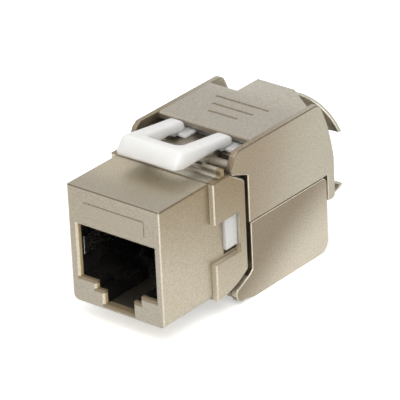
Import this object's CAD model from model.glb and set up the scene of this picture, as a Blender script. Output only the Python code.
import math

import bmesh
import bpy
import numpy as np
from mathutils import Matrix, Vector


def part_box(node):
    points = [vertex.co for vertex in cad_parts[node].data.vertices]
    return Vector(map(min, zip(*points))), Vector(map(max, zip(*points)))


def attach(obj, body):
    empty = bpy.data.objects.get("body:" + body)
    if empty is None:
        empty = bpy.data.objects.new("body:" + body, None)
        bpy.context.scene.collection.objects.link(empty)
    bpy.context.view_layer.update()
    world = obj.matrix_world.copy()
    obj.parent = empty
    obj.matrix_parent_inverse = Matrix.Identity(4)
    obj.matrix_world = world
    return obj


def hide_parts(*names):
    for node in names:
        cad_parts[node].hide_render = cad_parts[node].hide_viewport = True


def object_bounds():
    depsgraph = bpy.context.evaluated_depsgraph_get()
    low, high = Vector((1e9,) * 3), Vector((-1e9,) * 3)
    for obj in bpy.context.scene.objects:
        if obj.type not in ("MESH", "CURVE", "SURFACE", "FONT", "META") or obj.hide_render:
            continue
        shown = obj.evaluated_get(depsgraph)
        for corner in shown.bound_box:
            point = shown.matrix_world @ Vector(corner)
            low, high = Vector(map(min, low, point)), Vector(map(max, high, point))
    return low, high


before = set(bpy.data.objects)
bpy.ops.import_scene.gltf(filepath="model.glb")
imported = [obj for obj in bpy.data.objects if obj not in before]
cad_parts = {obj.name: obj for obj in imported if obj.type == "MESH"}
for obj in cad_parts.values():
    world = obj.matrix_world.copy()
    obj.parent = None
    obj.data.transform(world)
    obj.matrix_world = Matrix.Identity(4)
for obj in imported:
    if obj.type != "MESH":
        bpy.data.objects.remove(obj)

CAD_BOX = [list(corner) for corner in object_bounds()]
MM = 0.001
HOUSING_LOW, HOUSING_HIGH = (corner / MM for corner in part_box("front_housing"))

# Places on the castings, in millimetres. Those across the part are distances from its middle.
FRONT, NOSE_SIDE, NOSE_TOP = HOUSING_LOW.y, 7.25, 15.8
FLANK, SHOULDER, COLLAR_BACK = HOUSING_HIGH.x, 0.0, 6.05
LATCH_SHADE_FRONT, LATCH_SHADE_FULL = -8.5, -2.0
MOUTH_HALF, MOUTH_TOP, MOUTH_DEPTH, MOUTH_ROLL = 6.34, 10.85, 1.3, 0.32
MOUTH_LEDGES = (0.55, 2.35, 3.35)
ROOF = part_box("upper_shell")[1].z / MM
ROOF_FRONT, ROOF_FULL, THROAT_FRONT, THROAT_FULL = 7.5, 9.5, 15.0, 21.5
GROOVES_FRONT, GROOVES_BACK, GROOVES_HALF, GROOVE_DEPTH = 9.0, 17.0, 6.8, 0.6
CHEEK = 0.9

# Colours of the plating.
PLAIN_WARM, PLAIN_COOL = (0.345, 0.305, 0.24), (0.365, 0.335, 0.28)
UNDER_LATCH = (0.52, 0.45, 0.325)
RUBBED, DARK_ROLL = (0.60, 0.545, 0.44), (0.17, 0.135, 0.095)
ROOF_TONE, THROAT_TONE, GROOVE_TONE = (0.395, 0.36, 0.305), (0.49, 0.455, 0.385), (0.50, 0.44, 0.35)
MOUTH_LIP, MOUTH_WALL, MOUTH_LEDGE = (0.68, 0.62, 0.48), (0.66, 0.52, 0.29), (0.24, 0.185, 0.115)
DULL_SPECK, BRIGHT_SPECK = (0.85, 0.845, 0.83), (1.13, 1.13, 1.14)


# ---- shader writing ----------------------------------------------------------------------------
def feed(tree, socket, value):
    """Links a value or a node's output to a socket, or sets the socket to a number or a colour."""
    if isinstance(value, Value):
        value = value.socket
    if isinstance(value, bpy.types.NodeSocket):
        tree.links.new(value, socket)
    elif socket.type == "RGBA":
        socket.default_value = (*value, 1.0)
    else:
        socket.default_value = value


def add_node(tree, kind, settings=None, sockets=None):
    """A node of one kind: its settings first, then the values or links of its sockets."""
    node = tree.nodes.new(kind)
    for key, value in (settings or {}).items():
        setattr(node, key, value)
    for key, value in (sockets or {}).items():
        feed(tree, node.inputs[key], value)
    return node


class Value:
    """A number that varies over a surface; arithmetic on it adds the Math nodes."""

    def __init__(self, tree, socket):
        self.tree = tree
        self.socket = socket

    def maths(self, operation, *terms):
        """A Math node over its terms, which are values or plain numbers."""
        node = add_node(self.tree, "ShaderNodeMath", {"operation": operation}, dict(enumerate(terms)))
        return Value(self.tree, node.outputs[0])

    def __add__(self, other):
        return self.maths("ADD", self, other)

    __radd__ = __add__

    def __sub__(self, other):
        return self.maths("SUBTRACT", self, other)

    def __rsub__(self, other):
        return self.maths("SUBTRACT", other, self)

    def __mul__(self, other):
        return self.maths("MULTIPLY", self, other)

    __rmul__ = __mul__

    def absolute(self):
        """Its distance from 0."""
        return self.maths("ABSOLUTE", self)

    def fraction(self):
        """What is left after the whole number."""
        return self.maths("FRACT", self)

    def greatest(self, *others):
        """The greatest of itself and the others."""
        top = self
        for other in others:
            top = self.maths("MAXIMUM", top, other)
        return top

    def rise(self, low, high):
        """0 below low, 1 above high, and a smooth rise between."""
        node = add_node(self.tree, "ShaderNodeMapRange", {"interpolation_type": "SMOOTHSTEP"},
                        {"Value": self, "From Min": low, "From Max": high})
        return Value(self.tree, node.outputs["Result"])

    def fall(self, low, high):
        """1 below low, 0 above high, and a smooth fall between."""
        return 1.0 - self.rise(low, high)

    def between(self, low, high, soft=0.03):
        """1 between two places and 0 outside them, with soft ends."""
        return self.rise(low - soft, low + soft) * self.fall(high - soft, high + soft)


class Finish:
    """One surface finish: a Principled shader whose sockets are numbers, colours or worked-out values. Its
    place is the object's coordinates in millimetres."""

    def __init__(self, name):
        self.material = bpy.data.materials.new(name)
        self.material.use_nodes = True
        self.tree = self.material.node_tree
        metres = add_node(self.tree, "ShaderNodeTexCoord").outputs["Object"]
        scaled = add_node(self.tree, "ShaderNodeVectorMath", {"operation": "SCALE"},
                          {"Vector": metres, "Scale": 1.0 / MM})
        self.place = scaled.outputs["Vector"]

    def axes(self):
        """The three coordinates."""
        node = add_node(self.tree, "ShaderNodeSeparateXYZ", None, {"Vector": self.place})
        return [Value(self.tree, output) for output in node.outputs]

    def stretched(self, x, y, z):
        """The coordinates, each scaled by its own number, which draws a grain out along the smallest."""
        node = add_node(self.tree, "ShaderNodeMapping", None, {"Vector": self.place, "Scale": (x, y, z)})
        return node.outputs["Vector"]

    def grain(self, lumps, detail=2.0, rough=0.5, at=None):
        """Soft random field, about 0 to 1, with so many lumps to a millimetre."""
        node = add_node(self.tree, "ShaderNodeTexNoise", {"noise_dimensions": "3D"},
                        {"Vector": at or self.place, "Scale": lumps, "Detail": detail, "Roughness": rough})
        return Value(self.tree, node.outputs["Fac"])

    def mixed(self, share, first, second, how="MIX"):
        """Colour between two colours, or their product where how is MULTIPLY and the share is 1."""
        node = add_node(self.tree, "ShaderNodeMix",
                        {"data_type": "RGBA", "blend_type": how, "clamp_result": True},
                        {0: share, 6: first, 7: second})
        return node.outputs[2]

    def bump(self, height, strength, depth):
        """Normal from a height field that stands for a depth in millimetres."""
        node = add_node(self.tree, "ShaderNodeBump", None,
                        {"Height": height, "Strength": strength, "Distance": depth * MM})
        return node.outputs["Normal"]

    def surface(self, **sockets):
        """The finished material; each space in a socket's name is written as _."""
        shader = self.tree.nodes["Principled BSDF"]
        for key, value in sockets.items():
            feed(self.tree, shader.inputs[key.replace("_", " ")], value)
        return self.material


# ---- finishes ----------------------------------------------------------------------------------
def share_of_way(y, z, start, end):
    """How far along the line from start to end (Y, Z) a place lies: 0 at start and 1 at end."""
    run, rise = end[0] - start[0], end[1] - start[1]
    return ((y - start[0]) * run + (z - start[1]) * rise) * (1.0 / (run * run + rise * rise))


def satin_nickel(name, brown_at, pale_at, brown, pale):
    """Blasted nickel plating on a zinc casting: warm grey, with a pearly grain of bright and dull specks.
    On the flanks it drifts from brown at one point (Y, Z in mm) to pale at another. It is yellower under
    the latch, rubbed to cream on the low edges, the nose's front corners and the collar's steps, and dark on
    the rolled top edges. The roof grows paler towards the throat and in its grooves, and the walls of the
    socket's mouth are golden, with dark rolls on their ledges. Each tone is laid over those before it.
    An offset of a fraction of a millimetre is the width of a rolled edge, or how softly a mask ends."""
    f = Finish(name)
    cloud = f.grain(0.07, detail=1.0)
    speck = f.grain(5.2, rough=0.7)
    fine = f.grain(12.0, rough=0.6)
    x, y, z = f.axes()
    out = x.absolute()

    drift = share_of_way(y, z, brown_at, pale_at) + 0.24 * (cloud - 0.5)
    on_flanks = out.rise(NOSE_SIDE - 0.35, NOSE_SIDE - 0.02)
    under_latch = (z.between(NOSE_TOP, NOSE_TOP + 0.1, 0.05) * y.fall(SHOULDER - 0.2, SHOULDER)
                   * y.rise(LATCH_SHADE_FRONT, LATCH_SHADE_FULL))

    high_up = z.rise(NOSE_TOP - 0.2, NOSE_TOP + 0.1)
    flank_edges = out.between(FLANK - 0.11, FLANK - 0.02, 0.01)
    on_steps = (out.between(NOSE_SIDE + 0.03, FLANK - 0.08) * y.between(SHOULDER - 0.1, COLLAR_BACK)
                * z.between(-1.0, NOSE_TOP))
    nose_corners = out.between(NOSE_SIDE - 0.22, NOSE_SIDE - 0.04) * y.fall(FRONT + 0.08, FRONT + 0.18)
    nose_crease = z.between(NOSE_TOP - 0.2, NOSE_TOP - 0.06) * y.fall(SHOULDER - 0.2, SHOULDER - 0.1)

    inboard = out.fall(FLANK - CHEEK, FLANK - CHEEK + 0.05)
    in_grooves = (z.between(ROOF - GROOVE_DEPTH, ROOF - 0.06) * y.between(GROOVES_FRONT, GROOVES_BACK)
                  * out.fall(GROOVES_HALF, GROOVES_HALF + 0.1))

    in_mouth = (y.between(FRONT + 0.06, FRONT + MOUTH_DEPTH) * out.fall(MOUTH_HALF, MOUTH_HALF + 0.04)
                * z.fall(MOUTH_TOP, MOUTH_TOP + 0.05))
    on_ledges = sum(z.between(ledge - MOUTH_ROLL, ledge + 0.02) for ledge in MOUTH_LEDGES)
    walls = f.mixed(y.rise(FRONT + 0.1, FRONT + 0.5), MOUTH_LIP, MOUTH_WALL)

    tone = f.mixed(cloud.rise(0.3, 0.7), PLAIN_WARM, PLAIN_COOL)
    layers = [
        (under_latch, UNDER_LATCH),
        (on_flanks, f.mixed(drift.rise(0.0, 1.0), brown, pale)),
        (on_steps.greatest(flank_edges * (1.0 - high_up), nose_corners), RUBBED),
        ((flank_edges * high_up).greatest(nose_crease), DARK_ROLL),
        (inboard * y.rise(ROOF_FRONT, ROOF_FULL), ROOF_TONE),
        (inboard * y.rise(THROAT_FRONT, THROAT_FULL), THROAT_TONE),
        (in_grooves, GROOVE_TONE),
        (in_mouth, f.mixed(on_ledges, walls, MOUTH_LEDGE)),
    ]
    for mask, colour in layers:
        tone = f.mixed(mask, tone, colour)

    dull = f.mixed(1.0, tone, DULL_SPECK, "MULTIPLY")
    bright = f.mixed(1.0, tone, BRIGHT_SPECK, "MULTIPLY")
    return f.surface(Base_Color=f.mixed(speck.rise(0.3, 0.7), dull, bright),
                     Roughness=0.42 + 0.10 * (speck - 0.5) + 0.08 * (fine - 0.5),
                     Metallic=1.0 - 0.8 * in_mouth - 0.4 * on_steps - 0.7 * in_grooves,
                     Normal=f.bump(speck * 0.6 + fine * 0.4, strength=0.22, depth=0.03))


def white_moulding():
    """Semi-gloss white nylon that lets light in, with a very fine texture and faint flow marks."""
    f = Finish("white_moulded_nylon")
    cloud = f.grain(0.16)
    fine = f.grain(6.5)
    return f.surface(Base_Color=f.mixed(cloud.rise(0.35, 0.7), (0.77, 0.77, 0.735), (0.82, 0.82, 0.80)),
                     Roughness=0.34 + 0.10 * (fine - 0.5) + 0.08 * (cloud - 0.5), IOR=1.5,
                     Subsurface_Weight=1.0, Subsurface_Scale=0.004, Subsurface_Radius=(1.0, 1.0, 0.97),
                     Normal=f.bump(fine, strength=0.12, depth=0.02))


def black_moulding():
    """Glossy black thermoplastic."""
    f = Finish("black_moulded_lining")
    cloud = f.grain(0.3, detail=3.0)
    fine = f.grain(5.2)
    return f.surface(Base_Color=f.mixed(cloud.rise(0.4, 0.7), (0.006, 0.006, 0.006), (0.014, 0.013, 0.012)),
                     Roughness=0.27 + 0.14 * (cloud - 0.5) + 0.08 * (fine - 0.5), IOR=1.5,
                     Normal=f.bump(fine * 0.5 + cloud * 0.5, strength=0.15, depth=0.03))


def tan_moulding():
    """Matt tan plastic."""
    f = Finish("tan_contact_comb")
    cloud = f.grain(0.5, detail=3.0)
    fine = f.grain(6.0)
    return f.surface(Base_Color=f.mixed(cloud.rise(0.35, 0.7), (0.30, 0.24, 0.13), (0.40, 0.33, 0.19)),
                     Roughness=0.45 + 0.1 * (fine - 0.5), IOR=1.5,
                     Normal=f.bump(fine, strength=0.15, depth=0.02))


def gold_plating():
    """Gold flash over spring bronze, with fine lines drawn along the wire."""
    f = Finish("gold_flashed_contact")
    lines = f.grain(9.0, at=f.stretched(1.0, 0.12, 0.35))
    cloud = f.grain(0.9)
    return f.surface(Base_Color=f.mixed(cloud.rise(0.35, 0.7), (0.84, 0.58, 0.24), (0.93, 0.70, 0.34)),
                     Roughness=0.24 + 0.14 * (lines - 0.5) + 0.08 * (cloud - 0.5), Metallic=1.0,
                     Normal=f.bump(lines, strength=0.2, depth=0.01))


def bright_strip(name, dark, light, rough):
    """Rolled strip metal with fine rolling lines along Y."""
    f = Finish(name)
    lines = f.grain(7.0, at=f.stretched(1.0, 0.06, 1.0))
    cloud = f.grain(0.7)
    return f.surface(Base_Color=f.mixed(cloud.rise(0.3, 0.7), dark, light),
                     Roughness=rough + 0.16 * (lines - 0.5) + 0.06 * (cloud - 0.5), Metallic=1.0,
                     Normal=f.bump(lines, strength=0.2, depth=0.01))


def board_laminate():
    """Green solder mask over tracks that run side by side, about one to a millimetre across the board, and
    wander a little; they stand proud and look lighter."""
    f = Finish("green_solder_mask")
    x = f.axes()[0]
    wander = f.grain(0.26, detail=1.0) - 0.5
    fine = f.grain(5.0)
    stripe = (x * 0.98 + wander * 1.6).fraction()
    track = stripe.rise(0.2, 0.3) * stripe.fall(0.62, 0.72)
    return f.surface(Base_Color=f.mixed(track, (0.012, 0.075, 0.03), (0.03, 0.16, 0.065)),
                     Roughness=0.3 + 0.08 * (fine - 0.5), IOR=1.5,
                     Normal=f.bump(track + fine * 0.15, strength=0.3, depth=0.03))


NICKEL = satin_nickel("satin_nickel_housing", brown_at=(4.0, 16.5), pale_at=(-3.0, 0.5),
                      brown=(0.245, 0.19, 0.115), pale=(0.455, 0.41, 0.325))
NICKEL_ABOVE = satin_nickel("satin_nickel_upper_shell", brown_at=(6.0, 17.0), pale_at=(22.0, 11.0),
                            brown=(0.295, 0.24, 0.17), pale=(0.41, 0.38, 0.305))
NICKEL_BELOW = satin_nickel("satin_nickel_lower_shell", brown_at=(12.0, 5.0), pale_at=(15.5, -2.4),
                            brown=(0.24, 0.20, 0.14), pale=(0.52, 0.475, 0.39))
WHITE = white_moulding()
BLACK = black_moulding()
TAN = tan_moulding()
GOLD = gold_plating()
STRIP = bright_strip("shield_spring_strip", dark=(0.50, 0.49, 0.46), light=(0.62, 0.61, 0.58), rough=0.26)
TINNED = bright_strip("tinned_blade_strip", dark=(0.60, 0.59, 0.56), light=(0.72, 0.71, 0.69), rough=0.3)
LAMINATE = board_laminate()


# ---- mesh writing ------------------------------------------------------------------------------
# Points nearer than the gap, in millimetres, are one; the angles say which edges vanish and which roll.
POINT_GAP = 0.001
FLAT_WITHIN, SHARP_OVER = math.radians(0.6), math.radians(25.0)


def placed(name, mesh, material, body):
    """Object with a mesh of its own and one material, riding on a body."""
    mesh.materials.clear()
    mesh.materials.append(material)
    obj = bpy.data.objects.new(name, mesh)
    bpy.context.scene.collection.objects.link(obj)
    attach(obj, body)
    return obj


def piece(name, verts, faces, material, body):
    """Smooth-shaded object from points in millimetres and faces, riding on a body."""
    mesh = bpy.data.meshes.new(name)
    mesh.from_pydata((np.asarray(verts, float) * MM).tolist(), [], faces)
    mesh.polygons.foreach_set("use_smooth", np.full(len(mesh.polygons), True))
    mesh.update()
    return placed(name, mesh, material, body)


def tube_faces(rings, around):
    """Quads of a closed tube of 'rings' loops with 'around' points each, and its two end caps."""
    i, j = np.meshgrid(np.arange(rings - 1), np.arange(around), indexing="ij")
    k = (j + 1) % around
    quads = np.stack([i * around + j, i * around + k, (i + 1) * around + k, (i + 1) * around + j], -1)
    first = list(range(around - 1, -1, -1))
    last = [(rings - 1) * around + n for n in range(around)]
    return quads.reshape(-1, 4).tolist() + [first, last]


def roll_edges(obj, width, segments):
    """Rounds the sharp edges, over a width in millimetres."""
    bevel = obj.modifiers.new("rolled_edges", "BEVEL")
    bevel.width = width * MM
    bevel.segments = segments
    bevel.limit_method = "ANGLE"
    bevel.angle_limit = SHARP_OVER
    bevel.harden_normals = True
    bevel.use_clamp_overlap = True
    return obj


def softened(node, material, body, roll, segments=3):
    """Stands for a CAD node: a copy of its mesh with its points joined, its flat faces whole and every
    sharp edge rolled over."""
    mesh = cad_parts[node].data.copy()
    work = bmesh.new()
    work.from_mesh(mesh)
    bmesh.ops.remove_doubles(work, verts=work.verts, dist=POINT_GAP * MM)
    bmesh.ops.dissolve_limit(work, angle_limit=FLAT_WITHIN, verts=work.verts, edges=work.edges,
                             delimit={"NORMAL"})
    for face in work.faces:
        face.smooth = True
    work.to_mesh(mesh)
    work.free()
    obj = placed(f"{node}_finish", mesh, material, body)
    roll_edges(obj, roll, segments)
    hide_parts(node)


def slab(name, low, high, material, body, roll):
    """Flat block between two corners, in millimetres, with every edge rolled over."""
    corners = [(x, y, z) for x in (low[0], high[0]) for y in (low[1], high[1]) for z in (low[2], high[2])]
    faces = [(0, 1, 3, 2), (4, 6, 7, 5), (0, 4, 5, 1), (2, 3, 7, 6), (0, 2, 6, 4), (1, 5, 7, 3)]
    return roll_edges(piece(name, corners, faces, material, body), roll, segments=5)


# ---- castings and mouldings --------------------------------------------------------------------
softened("front_housing", NICKEL, "housing", roll=0.10)
softened("upper_shell", NICKEL_ABOVE, "upper_cover", roll=0.13)
softened("lower_shell", NICKEL_BELOW, "lower_cover", roll=0.13)
softened("jack_insert", BLACK, "housing", roll=0.06)
softened("contact_comb", TAN, "housing", roll=0.05)
softened("terminal_carrier", WHITE, "housing", roll=0.10)
for level in ("upper", "lower"):
    softened(f"wire_presser_{level}", WHITE, f"{level}_cover", roll=0.12)
softened("circuit_board", LAMINATE, "housing", roll=0.03, segments=2)
for side in ("left", "right"):
    softened(f"shield_spring_{side}", STRIP, "housing", roll=0.03, segments=2)
for number in range(1, 9):
    softened(f"idc_blade_{number}", TINNED, "housing", roll=0.04, segments=2)


# ---- snap latch --------------------------------------------------------------------------------
# Distances from the middle, places along Y, and heights, in millimetres.
LATCH_HALF, ARM_INSIDE, FOOT_INSIDE = 4.65, 2.75, 1.6
LIP_Y, CREST_Y, CHIN_Y, BAR_BACK_Y = -3.2, -1.6, -1.4, 0.35
DEEP_FROM_Y, FOOT_FRONT_Y, HEEL_Y, ARM_END_Y = 5.2, 6.7, 7.5, 8.15
LIP_Z, CREST_Z, BAR_BACK_Z, HEEL_Z, ARM_END_Z = 18.0, 19.9, 19.6, 18.6, 18.1
UNDERSIDE_Z, HEEL_UNDERSIDE_Z = 17.5, 16.95
FOOT_THICKNESS, HEEL_AHEAD, HEEL_LIFT = 0.5, 0.6, 0.1
HEEL_SIDE_INSET, HEEL_BACK_INSET, HEEL_IN_ARM = 0.05, 0.3, 0.4
INSIDE_RADIUS, END_RADIUS, END_SHRINK = 1.0, 0.25, 0.3
ARM_LOOPS, CORNER_LOOPS, BAR_LOOPS, END_LOOPS, ROLL_POINTS = 24, 28, 6, 7, 6
# Stands in for a share of 0, which can't be divided by.
LEAST_SHARE = 1e-6


def lever_top(y):
    """Straight falls from the crest to the bar's back, on to the heel, and down the arm's end."""
    return np.interp(y, [CREST_Y, BAR_BACK_Y, HEEL_Y, ARM_END_Y], [CREST_Z, BAR_BACK_Z, HEEL_Z, ARM_END_Z])


def lever_lip(y):
    """One height all along."""
    return np.full(y.shape, LIP_Z)


def lever_underside(y):
    """Level, then a straight fall to the heel."""
    return np.interp(y, [DEEP_FROM_Y, HEEL_Y], [UNDERSIDE_Z, HEEL_UNDERSIDE_Z])


# The section's five corners, from the crest round by the front: distance of the arm's edge from the
# middle, front of the bar, radius in plan, reach of the roll, and height along Y.
LEVER_SECTION = [
    (LATCH_HALF, CREST_Y, 0.4, 0.5, lever_top),
    (LATCH_HALF, LIP_Y, 0.55, 0.42, lever_lip),
    (LATCH_HALF, CHIN_Y, 0.5, 0.4, lever_underside),
    (ARM_INSIDE, BAR_BACK_Y, INSIDE_RADIUS, 0.3, lever_underside),
    (ARM_INSIDE, BAR_BACK_Y, INSIDE_RADIUS, 0.45, lever_top),
]


def round_the_bend(side, front, radius, share):
    """Plan of one edge of the lever: along the arm's side, round a quarter circle, and across the bar to
    the middle; 'share' runs from 0 to 1 on the arm, 1 to 2 in the corner, which has a straight before and
    after the circle, and 2 to 3 on the bar."""
    corner_y = BAR_BACK_Y + INSIDE_RADIUS
    corner_x = INSIDE_RADIUS - ARM_INSIDE
    arm, corner, bar = (np.clip(share - start, 0.0, 1.0) for start in (0.0, 1.0, 2.0))
    run_in = corner_y - front
    run_out = corner_x + side
    low = 0.5 - 0.5 * radius / max(run_in, radius)
    high = 0.5 + 0.5 * radius / max(run_out, radius)
    turn = np.clip((corner - low) / (high - low), 0.0, 1.0) * math.pi / 2
    straight_in = np.clip(corner / max(low, LEAST_SHARE), 0.0, 1.0) * (run_in - radius)
    straight_out = np.clip((corner - high) / max(1.0 - high, LEAST_SHARE), 0.0, 1.0) * (run_out - radius)
    x = -side + radius * (1 - np.cos(turn)) + straight_out - bar * corner_x
    y = ARM_END_Y + (corner_y - ARM_END_Y) * arm - straight_in - radius * np.sin(turn)
    return x, y


def rolled(corners, reach, steps, most=0.48):
    """Loops through rows of corners. Each corner P gives way to the curve from A, its reach before P, to B,
    its reach after P: (1-t)^2 A + 2t(1-t) P + t^2 B. No reach takes more than a share 'most' of its side."""
    before = np.roll(corners, 1, axis=1) - corners
    after = np.roll(corners, -1, axis=1) - corners
    length_before = np.linalg.norm(before, axis=2, keepdims=True)
    length_after = np.linalg.norm(after, axis=2, keepdims=True)
    reach = np.asarray(reach)[None, :, None]
    a = corners + before * np.minimum(reach / length_before, most)
    b = corners + after * np.minimum(reach / length_after, most)
    t = np.linspace(0.0, 1.0, steps)[None, None, :, None]
    a, b, p = a[:, :, None, :], b[:, :, None, :], corners[:, :, None, :]
    loops = (1 - t) ** 2 * a + 2 * t * (1 - t) * p + t ** 2 * b
    return loops.reshape(len(corners), -1, 3)


def lever_frame():
    """U-shaped lever: a rolled section of five corners carried from one arm's end round the bar to the
    other's. Each end shrinks a little along a quarter circle."""
    share = np.concatenate([np.linspace(0.0, 1.0, ARM_LOOPS, endpoint=False),
                            np.linspace(1.0, 2.0, CORNER_LOOPS, endpoint=False),
                            np.linspace(2.0, 3.0, BAR_LOOPS)])
    tracks, reaches = [], []
    for side, front, radius, reach, height in LEVER_SECTION:
        x, y = round_the_bend(side, front, radius, share)
        tracks.append(np.stack([x, y, height(y)], -1))
        reaches.append(reach)
    loops = rolled(np.stack(tracks, 1), reaches, ROLL_POINTS)
    centre = loops[:1].mean(axis=1)
    lean = np.linspace(math.pi / 2, 0.0, END_LOOPS)[:-1, None, None]
    ends = centre + (loops[:1] - centre) * (1 - (1 - np.cos(lean)) * END_SHRINK)
    ends[:, :, 1] = ARM_END_Y + END_RADIUS * (np.sin(lean[:, :, 0]) - 1)
    keep = loops[:, :, 1].max(axis=1) < ARM_END_Y - END_RADIUS
    half = np.concatenate([ends, loops[keep]])
    mirrored = half[-2::-1] * np.array([-1.0, 1.0, 1.0])
    verts = np.concatenate([half, mirrored])
    faces = tube_faces(len(verts), verts.shape[1])
    return piece("latch_frame", verts.reshape(-1, 3), faces, WHITE, "latch")


def snap_latch():
    """The lever's frame, and at each arm's end a flat foot and the heel block that joins it to the arm."""
    parts = [lever_frame()]
    low, high = (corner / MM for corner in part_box("latch_lever"))
    for side, sign in (("left", -1), ("right", 1)):
        foot = sorted([sign * FOOT_INSIDE, sign * high.x])
        foot_low = (foot[0], FOOT_FRONT_Y, low.z)
        foot_high = (foot[1], high.y, low.z + FOOT_THICKNESS)
        parts.append(slab(f"latch_foot_{side}", foot_low, foot_high, WHITE, "latch",
                          roll=0.2))
        heel = sorted([sign * (ARM_INSIDE + HEEL_SIDE_INSET), sign * (LATCH_HALF - HEEL_SIDE_INSET)])
        heel_low = (heel[0], FOOT_FRONT_Y - HEEL_AHEAD, low.z + HEEL_LIFT)
        heel_high = (heel[1], ARM_END_Y - HEEL_BACK_INSET, UNDERSIDE_Z + HEEL_IN_ARM)
        parts.append(slab(f"latch_heel_{side}", heel_low, heel_high, WHITE, "latch",
                          roll=0.25))
    for part in parts:
        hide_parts("latch_lever")


snap_latch()


# ---- plain pad above the socket ----------------------------------------------------------------
PAD_HALF, PAD_PROUD, PAD_SUNK, PAD_LOW, PAD_TOP = 4.7, 0.12, 0.2, 11.75, 13.85


def plain_pad():
    """Slim bare pad on the front face, with its back sunk in the casting."""
    slab("plain_pad", (-PAD_HALF, FRONT - PAD_PROUD, PAD_LOW), (PAD_HALF, FRONT + PAD_SUNK, PAD_TOP),
         NICKEL, "housing", roll=0.1)


plain_pad()


# ---- contacts ----------------------------------------------------------------------------------
# Middle line of a contact in Y and Z, in millimetres.
LEVEL_FROM_Y, LEVEL_Z, BEND_Y, BEND_RADIUS = 6.6, 12.35, -5.8, 1.2
FALL_LENGTH, FALL_SLOPE = 7.6, math.radians(15.0)
WIRE_HALF = 0.215
RUN_POINTS, ROUND_POINTS = 14, 16


def hairpin():
    """Middle line of a contact: a level run forwards, a circular bend of a half turn less the slope, and a
    straight run that falls towards the back."""
    level_y = np.linspace(LEVEL_FROM_Y, BEND_Y, RUN_POINTS, endpoint=False)
    level = np.stack([level_y, np.full(RUN_POINTS, LEVEL_Z)], 1)
    turn = np.linspace(0.5 * math.pi, 1.5 * math.pi - FALL_SLOPE, RUN_POINTS)
    bend = np.array([BEND_Y, LEVEL_Z - BEND_RADIUS]) + BEND_RADIUS * np.stack([np.cos(turn), np.sin(turn)], 1)
    reach = np.linspace(0.0, FALL_LENGTH, RUN_POINTS)[1:, None]
    fall = bend[-1] + reach * np.array([math.cos(FALL_SLOPE), -math.sin(FALL_SLOPE)])
    return np.concatenate([level, bend, fall])


def squared_off(part):
    """Square root with the sign kept, which turns a circle's cosine and sine into a rounded square's."""
    return np.sign(part) * np.abs(part) ** 0.5


def contact_wire(node):
    """Hairpin swept with a rounded square, |a|^4 + |b|^4 = r^4 around the middle line, for a CAD contact."""
    low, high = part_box(node)
    line = hairpin()
    tangent = np.gradient(line, axis=0)
    tangent /= np.linalg.norm(tangent, axis=1, keepdims=True)
    normal = np.stack([-tangent[:, 1], tangent[:, 0]], 1)
    turn = np.linspace(0.0, 2 * math.pi, ROUND_POINTS, endpoint=False)
    across = WIRE_HALF * squared_off(np.cos(turn))
    up = WIRE_HALF * squared_off(np.sin(turn))
    yz = line[:, None, :] + up[None, :, None] * normal[:, None, :]
    xs = np.broadcast_to((low.x + high.x) / 2 / MM + across[None, :], yz.shape[:2])
    verts = np.concatenate([xs[..., None], yz], 2).reshape(-1, 3)
    wire = piece(f"{node}_wire", verts, tube_faces(len(line), len(turn)), GOLD, "housing")
    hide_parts(node)


for number in range(1, 9):
    contact_wire(f"contact_{number}")


# ---- studio ------------------------------------------------------------------------------------
# Places and sizes in metres. The floor lies a little under the part, so that no two faces share a plane.
FLOOR_HALF, FLOOR_GAP, FLOOR_GLOW = 1.5, 0.00001, 0.45
WORLD_LIGHT = 0.50
LAMP_TARGET = (0.0, 0.006, 0.008)
CAMERA_PLACE = (0.260026, -0.302038, 0.209661)
CAMERA_TURN, CAMERA_RISE, CAMERA_ROLL = (math.radians(angle) for angle in (40.078, 26.45, -2.735))
LENS = 329.32


def seen_directly(tree):
    """1 for rays from the camera, from a mirror-like surface or through glass, and 0 for light that is
    spread."""
    path = add_node(tree, "ShaderNodeLightPath")
    camera_ray, glossy_ray, clear_ray = (Value(tree, path.outputs[f"Is {kind} Ray"])
                                         for kind in ("Camera", "Glossy", "Transmission"))
    return camera_ray.greatest(glossy_ray, clear_ray)


def floor_paint():
    """White studio floor: a little light of its own lifts it to white, and the shadow on it stays."""
    f = Finish("studio_floor")
    cloud = f.grain(0.006)
    glow = f.mixed(seen_directly(f.tree), (0.0, 0.0, 0.0), (FLOOR_GLOW, FLOOR_GLOW, FLOOR_GLOW))
    return f.surface(Base_Color=f.mixed(cloud.rise(0.3, 0.7), (0.90, 0.90, 0.90), (0.92, 0.92, 0.92)),
                     Roughness=0.7, Emission_Color=glow, Emission_Strength=1.0)


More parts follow.
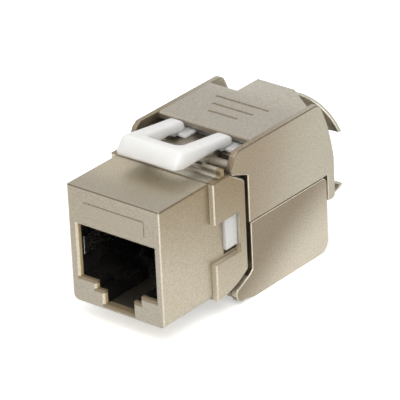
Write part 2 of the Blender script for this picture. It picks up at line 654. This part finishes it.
def studio():
    """Pale floor and white surround."""
    z = CAD_BOX[0][2] - FLOOR_GAP
    corners = [(x * FLOOR_HALF, y * FLOOR_HALF, z) for x, y in ((-1, -1), (1, -1), (1, 1), (-1, 1))]
    mesh = bpy.data.meshes.new("studio_floor")
    mesh.from_pydata(corners, [], [(0, 1, 2, 3)])
    mesh.materials.append(floor_paint())
    floor = bpy.data.objects.new("studio_floor", mesh)
    bpy.context.scene.collection.objects.link(floor)
    world = bpy.data.worlds.new("studio")
    bpy.context.scene.world = world
    world.use_nodes = True
    tree = world.node_tree
    back = tree.nodes["Background"]
    feed(tree, back.inputs["Color"], (1.0, 1.0, 1.0))
    feed(tree, back.inputs["Strength"], WORLD_LIGHT + (1.0 - WORLD_LIGHT) * seen_directly(tree))


def lamp(name, place, size, power, colour=(1.0, 1.0, 1.0)):
    """Square soft lamp that faces the part."""
    data = bpy.data.lights.new(name, "AREA")
    data.shape = "SQUARE"
    data.size = size
    data.energy = power
    data.color = colour
    obj = bpy.data.objects.new(name, data)
    obj.location = place
    obj.rotation_euler = (Vector(LAMP_TARGET) - Vector(place)).to_track_quat("-Z", "Y").to_euler()
    bpy.context.scene.collection.objects.link(obj)


def camera():
    """Long lens, 40 degrees to the right of the front and 26 degrees above it, rolled by under 3."""
    ahead = Vector((-math.sin(CAMERA_TURN) * math.cos(CAMERA_RISE),
                    math.cos(CAMERA_TURN) * math.cos(CAMERA_RISE), -math.sin(CAMERA_RISE)))
    right = Vector((math.cos(CAMERA_TURN), math.sin(CAMERA_TURN), 0.0))
    up = right.cross(ahead)
    across = right * math.cos(CAMERA_ROLL) + up * math.sin(CAMERA_ROLL)
    above = up * math.cos(CAMERA_ROLL) - right * math.sin(CAMERA_ROLL)
    data = bpy.data.cameras.new("camera")
    data.sensor_width = 36.0
    data.lens = LENS
    data.clip_start = 0.01
    obj = bpy.data.objects.new("camera", data)
    facing = Matrix((across, above, -ahead)).transposed().to_4x4()
    obj.matrix_world = Matrix.Translation(CAMERA_PLACE) @ facing
    bpy.context.scene.collection.objects.link(obj)
    bpy.context.scene.camera = obj


studio()
camera()
lamp("key_right_front", (0.22, -0.14, 0.13), size=0.16, power=0.085, colour=(1.0, 0.97, 0.92))
lamp("overhead", (0.10, -0.12, 0.30), size=0.30, power=0.75)
lamp("back_left", (-0.20, 0.10, 0.26), size=0.12, power=0.04)
bpy.context.scene.view_settings.view_transform = "Standard"
